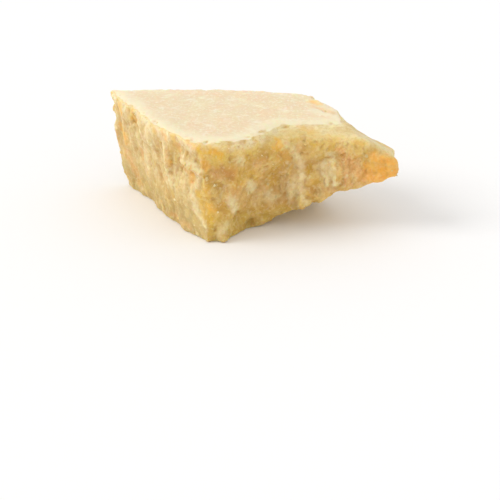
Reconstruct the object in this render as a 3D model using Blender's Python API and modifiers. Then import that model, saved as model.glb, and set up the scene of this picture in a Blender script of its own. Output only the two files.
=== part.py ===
"""A chunk of hard, aged cheese, broken off by hand.

It lies on its broad broken side. The top is an old, fairly smooth face. Its front right corner
has broken away in a sloping shoulder, and the right end runs out to a thin tip whose underside
rises clear of the table. All other sides are crumbly fractures with curd grains, flakes and
hollows. Metres, +Z up, with the origin under the middle of the chunk's own box.
"""

import bmesh
import bpy
from mathutils import Vector, noise

NAME = "parmesan_chunk"
MM = 0.001

# The block before it is broken further, as corners walked round it clockwise from above.
# Each has its place at the top and at the foot, in millimetres from the foot's front corner.
HEIGHT = 31 * MM
CORNERS = (
    ("back left", (-33.2, 47.0), (-28.4, 45.0)),
    ("back", (2.0, 47.6), (1.0, 44.4)),
    ("back right", (30.2, 43.4), (29.4, 40.4)),
    ("right", (40.2, 23.4), (38.8, 24.0)),
    ("far edge of tip", (43.6, 20.8), (43.0, 21.2)),
    ("tip back", (53.6, 16.0), (53.8, 15.8)),
    ("tip front", (54.4, 7.0), (54.6, 8.2)),
    ("ledge", (38.6, 9.9), (38.0, 9.9)),
    ("middle of right face", (25.5, 9.2), (22.0, 10.6)),
    ("start of shoulder", (15.5, 5.6), (13.2, 10.4)),
    ("lip", (9.2, 1.2), (8.8, 6.8)),
    ("front right", (4.4, 0.0), (4.2, 0.2)),
    ("front", (-2.6, -1.3), (-1.2, -0.4)),
    ("left front", (-7.3, 1.9), (-6.0, 6.0)),
    ("left bulge", (-14.0, 11.2), (-12.0, 15.2)),
    ("left", (-24.0, 29.5), (-20.6, 33.0)),
)

# The shoulder falls away from a level line on the top, to the right of a soft step. Falls are
# the rise of the surface for each metre along X and along Y.
SHOULDER_LINE = Vector((17.7 * MM, 18.5 * MM))
SHOULDER_FALL = Vector((-0.026, 0.212))
STEP_FROM = Vector((9.5 * MM, 1.0 * MM))
STEP_WIDTH = 5.6 * MM
TIP_START = Vector((38.4 * MM, 12.0 * MM))
TIP_FALL = Vector((-0.52, -0.08))

# The underside rises from a line to the right and the front, and less steeply past a bend.
LIFT_LINE = Vector((8.5 * MM, 5.9 * MM))
LIFT_HEADING = Vector((0.816, -0.579))
LIFT_SLOPE = 0.56
LIFT_BEND = 22 * MM
LIFT_SLOPE_BEYOND = 0.32

# Relief of the broken sides: large crags, curd grains and finer grit. A grain stands out by a
# share of its depth, and the groove round it goes in by another. Where a fracture faces up, as
# the shoulder does, it is calmer.
CRAG_SIZE = 9.0 * MM
CRAG_DEPTH = 1.05 * MM
CURD_SIZE = 4.0 * MM
CURD_DEPTH = 0.80 * MM
GRIT_SIZE = 2.2 * MM
GRIT_DEPTH = 0.34 * MM
GRAIN_STAND = 0.9
GROOVE_DEPTH = 0.55
GROOVE_WIDTH = 0.22
GRAIN_SEED = 7.31
SHOULDER_CALM = 0.55
CURD_OFFSET = Vector((11.0 * MM, 7.0 * MM, 3.0 * MM))

# The left face broke along the curd's layers, so its relief is drawn out into upright flakes.
LEFT_HEADING = Vector((-0.83, -0.556, 0.0))
FLAKE_SQUEEZE = 0.5

# The old top face only waves a little. The base is pushed below the table and cut level there.
TOP_WAVE_SIZE = 11.0 * MM
TOP_WAVE_DEPTH = 0.22 * MM
BASE_DROP = 0.9 * MM
BASE_BAND = 2.5 * MM

# Single marks on the faces: place, radius, and how far they stand out or go in, in millimetres.
MARKS = (
    ("notch in the foot's front", (1.2, 0.0, 0.6), 2.4, -1.9),
    ("left lobe of the foot", (-1.6, -0.8, 0.8), 2.6, 0.7),
    ("right lobe of the foot", (4.6, 0.0, 0.8), 2.4, 0.7),
    ("chip under the lip", (-6.8, 3.0, 24.2), 2.3, 1.1),
    ("hollow below the chip", (-5.6, 3.0, 20.0), 2.4, -1.0),
    ("pale ridge of the front corner", (-3.4, 0.6, 15.0), 4.0, 0.7),
    ("hollow beside the ridge", (3.0, 1.6, 17.5), 4.2, -1.0),
    ("long hollow of the left face", (-16.0, 17.5, 20.0), 4.6, -1.4),
    ("ledge beside it", (-12.4, 11.6, 21.0), 3.4, 0.9),
    ("bite in the back left edge", (-31.0, 45.0, 22.0), 2.6, -1.3),
    ("shelf of the left face", (-19.5, 27.0, 9.0), 4.5, 0.8),
    ("swelling low on the right face", (19.0, 9.0, 9.0), 4.6, 0.8),
    ("hollow high on the right face", (22.0, 8.6, 22.0), 4.2, -0.8),
    ("waxy patch", (29.0, 9.6, 15.0), 4.4, 0.6),
    ("ledge of the right face", (36.4, 9.8, 18.0), 4.0, 1.1),
    ("gap under the right face", (18.5, 8.4, 3.2), 4.6, -1.5),
    ("recess before the tip", (41.8, 9.2, 20.0), 4.0, -1.1),
    ("swelling under the tip", (48.0, 8.4, 15.2), 3.8, 1.3),
    ("bite in the foot's right edge", (13.0, 6.6, 1.0), 4.4, -2.4),
    ("swelling of the underside", (27.6, 9.8, 8.2), 4.2, 1.1),
    ("chip out of the top's back edge", (31.6, 39.6, 31.0), 2.6, -0.9),
    ("hollow of the back", (-8.0, 45.0, 14.0), 8.0, -1.6),
    ("swelling of the back", (12.0, 43.0, 19.0), 7.0, 1.0),
    ("hollow of the right side", (35.0, 28.0, 20.0), 6.0, -1.3),
)

# Mesh sizes while it is shaped, and the finished solid's triangles.
REMESH_COARSE = 1.1 * MM
REMESH_FINE = 0.8 * MM
TRIANGLES = 9000
FLAT_SNAP = 0.03 * MM

CHEESE_COLOUR = (0.77, 0.53, 0.24, 1.0)
CHEESE_ROUGHNESS = 0.6


def clear_scene():
    for item in list(bpy.data.objects):
        bpy.data.objects.remove(item, do_unlink=True)


def smooth_step(value, low, high):
    """0 below low, 1 above high, and an even rise between them."""
    t = min(max((value - low) / (high - low), 0.0), 1.0)
    return t * t * (3.0 - 2.0 * t)


def ceiling(x, y):
    """Height of the top over a point of the plan: flat, with the shoulder and the tip lower."""
    along = SHOULDER_LINE - STEP_FROM
    across = Vector((along.y, -along.x)).normalized()
    past_step = across.dot(Vector((x, y)) - STEP_FROM)
    shoulder = SHOULDER_FALL.dot(Vector((x, y)) - SHOULDER_LINE)
    drop = min(shoulder, 0.0) * smooth_step(past_step, 0.0, STEP_WIDTH)
    tip = min(TIP_FALL.dot(Vector((x, y)) - TIP_START), 0.0)
    return HEIGHT + min(drop, tip)


def floor(x, y):
    """Height of the underside: it rests on the table, and rises towards the tip."""
    out = LIFT_HEADING.dot(Vector((x, y)) - LIFT_LINE)
    near = min(max(out, 0.0), LIFT_BEND)
    beyond = max(out - LIFT_BEND, 0.0)
    return near * LIFT_SLOPE + beyond * LIFT_SLOPE_BEYOND


def block():
    """Lofts the foot's outline to the top's, corner by corner."""
    mesh = bpy.data.meshes.new(NAME)
    shape = bmesh.new()
    upper = [shape.verts.new((x * MM, y * MM, HEIGHT)) for _, (x, y), _ in CORNERS]
    lower = [shape.verts.new((x * MM, y * MM, 0.0)) for _, _, (x, y) in CORNERS]
    for index in range(len(CORNERS)):
        after = (index + 1) % len(CORNERS)
        shape.faces.new((upper[index], upper[after], lower[after], lower[index]))
    shape.faces.new(upper)
    shape.faces.new(lower)
    bmesh.ops.recalc_face_normals(shape, faces=shape.faces)
    shape.to_mesh(mesh)
    shape.free()
    return bpy.data.objects.new(NAME, mesh)


def apply_modifier(chunk, kind, **settings):
    modifier = chunk.modifiers.new(kind.title(), kind)
    for key, value in settings.items():
        setattr(modifier, key, value)
    bpy.ops.object.modifier_apply(modifier=modifier.name)


def remesh(chunk, voxel):
    apply_modifier(chunk, "REMESH", mode="VOXEL", voxel_size=voxel)


def set_heights(chunk):
    """Presses the upright block in between its underside and its top."""
    for vertex in chunk.data.vertices:
        x, y, z = vertex.co
        low = floor(x, y)
        vertex.co.z = low + (ceiling(x, y) - low) * z / HEIGHT


def grain(point, size):
    """Curd grains of one size: each stands out by its own amount, with a groove round it."""
    distances, places = noise.voronoi(point / size)
    inside = smooth_step(distances[1] - distances[0], 0.0, GROOVE_WIDTH)
    stand = noise.noise(places[0] * GRAIN_SEED)
    return stand * GRAIN_STAND - GROOVE_DEPTH * (1.0 - inside)


def broken(point, heading):
    """How far a fracture stands out at a point, with long upright flakes on the left face."""
    left = smooth_step(heading.dot(LEFT_HEADING), 0.55, 0.85)
    squeeze = 1.0 - (1.0 - FLAKE_SQUEEZE) * left
    place = Vector((point.x, point.y, point.z * squeeze))
    crag = CRAG_DEPTH * noise.fractal(place / CRAG_SIZE, 1.0, 2.1, 2)
    curd = CURD_DEPTH * grain(place + CURD_OFFSET, CURD_SIZE)
    grit = GRIT_DEPTH * grain(place, GRIT_SIZE)
    calm = 1.0 - SHOULDER_CALM * smooth_step(heading.z, 0.35, 0.8)
    return calm * (crag + curd + grit)


def smooth_top_share(point, heading):
    """1 on the smooth old face, 0 on the fractures round it."""
    level = smooth_step(heading.z, 0.75, 0.93)
    high = smooth_step(point.z, HEIGHT - 0.9 * MM, HEIGHT - 0.4 * MM)
    return level * high


def resting_share(point, heading):
    """1 on the underside where it lies on the table, 0 elsewhere."""
    faces_down = smooth_step(-heading.z, 0.6, 0.9)
    low = 1.0 - smooth_step(point.z, 0.3 * MM, 1.6 * MM)
    return faces_down * low


def marks(point):
    """What the single marks add at a point."""
    total = 0.0
    for _, place, radius, amount in MARKS:
        reach = (point - Vector(place) * MM).length / (radius * MM)
        total += amount * MM * (1.0 - smooth_step(reach, 0.25, 1.0))
    return total


def crumble(chunk):
    """Moves each point of the skin in or out, as the fracture there went."""
    skin = [(vertex.co.copy(), vertex.normal.copy()) for vertex in chunk.data.vertices]
    for vertex, (point, heading) in zip(chunk.data.vertices, skin):
        top = smooth_top_share(point, heading)
        wave = TOP_WAVE_DEPTH * noise.fractal(point / TOP_WAVE_SIZE, 1.0, 2.0, 2)
        move = wave * top + broken(point, heading) * (1.0 - top) + marks(point)
        vertex.co = point + heading * move * (1.0 - resting_share(point, heading))
        vertex.co.z -= BASE_DROP * (1.0 - smooth_step(point.z, 0.0, BASE_BAND))


def flatten_base(chunk):
    """Cuts the underside off level where it rests."""
    shape = bmesh.new()
    shape.from_mesh(chunk.data)
    cut = bmesh.ops.bisect_plane(
        shape, geom=shape.verts[:] + shape.edges[:] + shape.faces[:], dist=1e-7,
        plane_co=(0, 0, 0), plane_no=(0, 0, -1), clear_outer=True,
    )
    rim = [item for item in cut["geom_cut"] if isinstance(item, bmesh.types.BMEdge)]
    bmesh.ops.holes_fill(shape, edges=rim, sides=0)
    bmesh.ops.triangulate(shape, faces=shape.faces[:])
    bmesh.ops.recalc_face_normals(shape, faces=shape.faces)
    shape.to_mesh(chunk.data)
    shape.free()


def thin_out(chunk):
    """Brings the solid down to the wanted number of triangles, and keeps the base level."""
    share = TRIANGLES / len(chunk.data.polygons)
    apply_modifier(chunk, "DECIMATE", ratio=share, use_collapse_triangulate=True)
    for vertex in chunk.data.vertices:
        if abs(vertex.co.z) < FLAT_SNAP:
            vertex.co.z = 0.0


def centre(chunk):
    """Puts the origin under the middle of the chunk's box."""
    points = [vertex.co for vertex in chunk.data.vertices]
    middle_x = (min(p.x for p in points) + max(p.x for p in points)) / 2
    middle_y = (min(p.y for p in points) + max(p.y for p in points)) / 2
    for vertex in chunk.data.vertices:
        vertex.co.x -= middle_x
        vertex.co.y -= middle_y
    print("front corner at", round(-middle_x / MM, 3), round(-middle_y / MM, 3), "mm")


def cheese_material():
    material = bpy.data.materials.new("aged_cheese")
    material.use_nodes = True
    shader = material.node_tree.nodes["Principled BSDF"]
    shader.inputs["Base Color"].default_value = CHEESE_COLOUR
    shader.inputs["Roughness"].default_value = CHEESE_ROUGHNESS
    shader.inputs["Metallic"].default_value = 0.0
    return material


def main():
    clear_scene()
    collection = bpy.data.collections.new(NAME)
    bpy.context.scene.collection.children.link(collection)
    chunk = block()
    collection.objects.link(chunk)
    bpy.context.view_layer.objects.active = chunk
    chunk.select_set(True)
    remesh(chunk, REMESH_COARSE)
    set_heights(chunk)
    remesh(chunk, REMESH_FINE)
    crumble(chunk)
    remesh(chunk, REMESH_FINE)
    flatten_base(chunk)
    thin_out(chunk)
    centre(chunk)
    chunk.data.materials.append(cheese_material())
    sides = [round(side / MM, 2) for side in chunk.dimensions]
    print(len(chunk.data.polygons), "triangles,", sides, "mm")


main()
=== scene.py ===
"""Looks of a hand-broken chunk of hard aged cheese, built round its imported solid.

The solid's form is refined into a skin of curd grains, upright flakes, pits and a smoother old
top face. White crystals and clinging crumbs sit on it. Metres, +Z up, in the solid's own frame.
"""

import math
import random

import bpy
import numpy as np
from mathutils import Euler, Matrix, Vector, noise
from mathutils.kdtree import KDTree


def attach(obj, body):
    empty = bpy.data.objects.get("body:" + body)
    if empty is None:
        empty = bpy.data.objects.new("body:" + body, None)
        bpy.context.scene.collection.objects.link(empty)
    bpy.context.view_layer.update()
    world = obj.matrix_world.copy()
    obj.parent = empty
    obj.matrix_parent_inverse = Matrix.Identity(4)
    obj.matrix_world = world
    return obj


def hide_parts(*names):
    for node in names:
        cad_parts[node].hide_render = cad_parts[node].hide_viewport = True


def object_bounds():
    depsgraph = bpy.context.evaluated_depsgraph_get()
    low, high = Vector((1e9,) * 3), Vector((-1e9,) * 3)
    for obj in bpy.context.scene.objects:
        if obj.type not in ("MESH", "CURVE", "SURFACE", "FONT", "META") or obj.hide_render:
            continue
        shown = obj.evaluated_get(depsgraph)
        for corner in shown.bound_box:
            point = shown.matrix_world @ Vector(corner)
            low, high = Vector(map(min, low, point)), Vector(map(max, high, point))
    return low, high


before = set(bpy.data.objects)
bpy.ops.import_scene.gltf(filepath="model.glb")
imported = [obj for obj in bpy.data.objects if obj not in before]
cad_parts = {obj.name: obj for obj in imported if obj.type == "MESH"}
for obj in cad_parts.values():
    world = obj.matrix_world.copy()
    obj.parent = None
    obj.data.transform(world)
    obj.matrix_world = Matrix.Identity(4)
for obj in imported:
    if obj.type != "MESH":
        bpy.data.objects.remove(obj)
cad_low, cad_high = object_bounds()

NODE = "parmesan_chunk"
MM = 0.001
SEED = 41

# The skin's mesh, and its rounds of smoothing after the first and the second remesh.
SKIN_VOXEL = 0.376 * MM
MERGE = 0.001 * MM
FIRST_ROUNDS = 7
LAST_ROUNDS = 1

# Relief of the broken faces: sizes of what shows, and how far it stands out or goes in.
CRAG_SIZE = 5.2 * MM
CRAG_DEPTH = 0.50 * MM
FLAKE_SIZE = 3.6 * MM
FLAKE_DEPTH = 0.50 * MM
FLAKE_SQUEEZE = 0.34
CURD_SIZE = 2.1 * MM
CURD_DEPTH = 0.24 * MM
GRAIN_SIZE = 1.15 * MM
GRAIN_DEPTH = 0.13 * MM
RIDGE_SIZE = 2.3 * MM
RIDGE_DEPTH = 0.15 * MM
PIT_SIZE = 1.9 * MM
PIT_DEPTH = 0.30 * MM
WAX_SIZE = 9.0 * MM
GROOVE = 0.35
WARP_SIZE = 2.6 * MM
WARP_REACH = 0.9 * MM

# Relief of the old top face: a faint swell, specks, and a chipped, scalloped rim. The rim is on
# the old face and the brow is round it, and a higher closeness keeps a form nearer to the edge.
SWELL_SIZE = 3.4 * MM
SWELL_DEPTH = 0.10 * MM
SPECK_SIZE = 1.2 * MM
SPECK_DEPTH = 0.12 * MM
RIM_WIDTH = 7.0 * MM
BROW_WIDTH = 4.2 * MM
CHIP_SIZE = 2.1 * MM
CHIP_DEPTH = 0.65 * MM
CHIP_CLOSENESS = 9
SCALLOP_SIZE = 2.5 * MM
SCALLOP_DEPTH = 0.60 * MM
SCALLOP_CLOSENESS = 2

# How far below the highest point the old face ends, and where it is whole.
TOP_BAND = (1.3 * MM, 0.7 * MM)

# Which way the left face looks, and the height below which relief fades into the flat base.
LEFT_HEADING = Vector((-0.83, -0.556, 0.0))
BASE_BAND = 0.8 * MM

# Heights between which a broken face turns paler going up, and deeper going down,
# where the deeper foot is painted shade.
UPPER_BAND = (21.0 * MM, 30.0 * MM)
SHADED_FOOT_HEIGHTS = (13.0 * MM, 4.0 * MM)

# Heights between which the left face's fine upright ribs begin to show.
RIB_BAND = (8.0 * MM, 17.0 * MM)

# Where the old face's rim turns palest: going to the front along Y, and to the far left along X.
FRONT_BAND = (16.0 * MM, -6.0 * MM)
FAR_LEFT_BAND = (-22.0 * MM, -34.0 * MM)

# Size and reach of the waver in the outlines of strokes, worn edges and patches, and how far
# each of them takes to fade, against its own width, reach or radius.
STROKE_WAVER = (2.2 * MM, 0.6 * MM)
WEAR_WAVER = (2.6 * MM, 0.8 * MM)
PATCH_WAVER = (1.3 * MM, 0.9 * MM)
FADE = 1.5

# Rounds of smoothing that the fine and the broad depth of a point are measured against.
FINE_ROUNDS = 6
BROAD_ROUNDS = 60

# The foot's front corner, from which the places below are given.
FRONT_CORNER = Vector((-11.402 * MM, -23.424 * MM, 0.0))

# Edges that are worn round: from, to and reach, in millimetres, and how often they are smoothed.
WORN_EDGES = (
    ((-4.3, 0.0, 28.7), (-4.4, 1.6, 23.6), 2.8),
    ((-4.4, 1.6, 23.6), (-4.0, 1.7, 17.7), 3.2),
    ((-4.0, 1.7, 17.7), (-3.4, 0.7, 13.2), 3.2),
    ((-3.4, 0.7, 13.2), (-1.8, 1.0, 4.4), 3.0),
    ((-4.3, 0.0, 30.9), (3.4, -0.4, 30.7), 1.5),
    ((3.4, -0.4, 30.7), (14.8, 6.4, 30.7), 1.5),
    ((14.8, 6.4, 29.6), (25.7, 9.7, 27.5), 2.6),
    ((25.7, 9.7, 27.5), (37.2, 10.1, 27.3), 2.8),
    ((37.2, 10.1, 27.3), (52.4, 8.1, 23.5), 2.4),
)
WEAR_ROUNDS = 110

# Named ridges, flakes, hollows and cracks: from, to, half width and height, in millimetres.
STROKES = (
    # The worn ridge down the front corner, and the hollow beside it.
    ((-4.3, 1.8, 17.1), (-4.7, 3.3, 12.7), 1.5, 0.40),
    ((-4.7, 3.3, 12.7), (-3.9, 3.3, 8.7), 1.5, 0.45),
    ((-3.9, 3.3, 8.7), (-1.8, 0.8, 5.1), 1.3, 0.35),
    ((-2.8, 0.0, 17.0), (-2.0, 0.2, 10.0), 1.2, -0.35),
    ((-1.6, -0.4, 14.0), (-0.4, -0.2, 6.0), 1.3, -0.30),
    # The chip above it, and the hollow below the chip.
    ((-7.4, 4.6, 23.9), (-5.0, 1.4, 23.4), 1.4, 1.05),
    ((-5.0, 1.4, 23.4), (-3.3, 0.0, 22.0), 1.4, 1.05),
    ((-8.9, 7.5, 22.3), (-6.8, 3.5, 21.4), 0.9, -0.90),
    ((-6.8, 3.5, 21.4), (-4.9, 2.7, 20.6), 0.9, -0.90),
    ((-4.6, 3.4, 20.4), (-4.8, 2.9, 18.0), 1.2, -0.60),
    ((-9.6, 6.8, 27.0), (-8.8, 5.4, 23.4), 1.0, -0.60),
    # Columns of the right face, and the crack where the tip begins.
    ((25.7, 9.5, 26.0), (25.9, 9.6, 19.0), 1.3, 0.40),
    ((26.6, 10.1, 18.6), (26.0, 9.7, 9.0), 1.4, 0.45),
    ((35.8, 9.8, 21.8), (36.4, 9.3, 14.8), 0.9, 0.60),
    ((33.8, 10.4, 20.5), (34.0, 9.8, 14.4), 0.7, 0.40),
    ((38.0, 9.9, 23.4), (38.5, 9.4, 14.5), 0.8, -0.70),
    ((45.3, 9.1, 24.2), (44.7, 9.1, 18.6), 0.7, -0.40),
    ((23.0, 10.2, 12.6), (23.1, 10.4, 8.6), 0.8, 0.45),
    ((24.5, 10.0, 12.0), (24.8, 9.9, 8.8), 0.6, -0.45),
    # Hollows of the right face.
    ((3.2, 0.2, 21.9), (6.2, 0.8, 20.6), 2.0, -0.60),
    ((20.4, 8.0, 24.4), (22.3, 9.2, 22.4), 1.6, -0.60),
    ((18.8, 7.4, 28.0), (19.4, 7.4, 26.6), 1.1, -0.45),
    ((16.6, 7.8, 8.8), (18.4, 8.2, 8.4), 2.0, -0.45),
    ((10.6, 3.4, 26.2), (11.4, 4.1, 23.5), 1.1, -0.40),
    ((12.0, 5.2, 18.8), (13.1, 6.2, 17.2), 1.1, -0.40),
    ((28.6, 10.6, 18.6), (30.4, 10.6, 15.6), 1.5, -0.40),
    # Hollows and crevices of the left face.
    ((-14.4, 13.2, 25.6), (-13.9, 11.6, 20.6), 0.9, -1.00),
    ((-15.2, 16.6, 21.4), (-14.3, 15.2, 16.4), 1.2, -0.80),
    ((-16.0, 19.8, 15.6), (-15.3, 19.0, 12.6), 1.6, -0.80),
    ((-21.3, 30.0, 17.4), (-21.8, 31.2, 14.8), 1.4, -0.55),
    ((-24.9, 31.0, 30.0), (-24.1, 30.6, 26.4), 1.4, -0.70),
    ((-23.2, 28.8, 28.6), (-22.3, 27.8, 25.6), 1.2, -0.60),
    ((-13.6, 10.9, 29.6), (-12.8, 10.4, 26.8), 1.2, -0.70),
    ((-9.9, 6.8, 29.4), (-8.8, 5.8, 27.8), 1.0, -0.50),
    # Columns and flakes of the left face.
    ((-13.4, 11.6, 26.6), (-12.9, 10.2, 21.4), 1.0, 0.55),
    ((-12.9, 10.2, 21.4), (-12.6, 12.4, 16.9), 1.1, 0.55),
    ((-12.6, 12.4, 16.9), (-10.9, 9.5, 14.6), 1.2, 0.45),
    ((-19.1, 20.6, 27.4), (-19.5, 24.0, 22.4), 0.7, 0.40),
    ((-21.9, 29.4, 22.9), (-21.5, 29.5, 18.2), 0.7, 0.35),
    ((-20.6, 25.0, 25.4), (-20.4, 26.4, 19.4), 0.6, -0.40),
    ((-17.4, 18.8, 26.4), (-17.6, 21.0, 20.6), 0.6, -0.40),
    ((-11.2, 9.2, 20.8), (-11.0, 9.0, 18.6), 1.2, 0.50),
    ((-18.5, 18.8, 28.4), (-18.3, 20.4, 22.8), 1.1, 0.50),
    ((-19.2, 25.4, 22.6), (-18.8, 25.8, 13.0), 1.1, 0.50),
    ((-22.0, 30.2, 22.6), (-21.0, 31.6, 11.0), 1.0, 0.50),
    ((-27.2, 38.0, 21.4), (-26.0, 38.2, 15.6), 1.5, 0.50),
    ((-10.2, 9.4, 13.0), (-8.4, 8.6, 6.4), 1.6, 0.40),
    # The far left corner, the back rim and the far edge of the tip.
    ((-30.8, 44.1, 27.0), (-30.4, 43.0, 23.0), 1.9, -0.95),
    ((-31.0, 45.8, 30.6), (-31.0, 45.0, 28.8), 1.7, 0.60),
    ((10.0, 46.4, 30.6), (15.0, 46.0, 30.6), 1.8, 0.45),
    ((43.6, 20.4, 27.6), (51.0, 15.5, 24.4), 1.8, -0.45),
    # Hollows and ridges of the back.
    ((-20.0, 46.6, 26.0), (-16.0, 47.0, 18.0), 2.2, -0.80),
    ((-26.0, 46.0, 20.0), (-25.0, 46.0, 12.0), 1.4, 0.60),
    ((-2.0, 47.5, 20.0), (-1.0, 47.6, 10.0), 1.6, 0.70),
    ((8.0, 47.0, 14.0), (14.0, 46.0, 10.0), 2.4, -0.70),
    ((22.0, 45.0, 28.0), (20.0, 45.4, 20.0), 1.6, 0.60),
    ((37.0, 30.0, 22.0), (36.0, 32.0, 12.0), 2.0, -0.70),
    ((33.0, 38.0, 26.0), (33.0, 38.0, 14.0), 1.4, 0.60),
    # The lip where the old top face ends, and a crack and a hollow near its far edge.
    ((14.8, 12.0, 30.8), (21.0, 15.5, 30.4), 1.5, -0.20),
    ((21.0, 15.5, 30.4), (27.0, 16.6, 30.2), 1.4, -0.20),
    ((31.2, 29.8, 31.0), (33.6, 26.4, 31.0), 0.55, -0.55),
    ((33.6, 26.4, 31.0), (36.8, 24.0, 30.8), 0.55, -0.65),
    ((28.0, 36.8, 31.0), (30.4, 34.4, 31.0), 1.4, -0.45),
)
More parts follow.
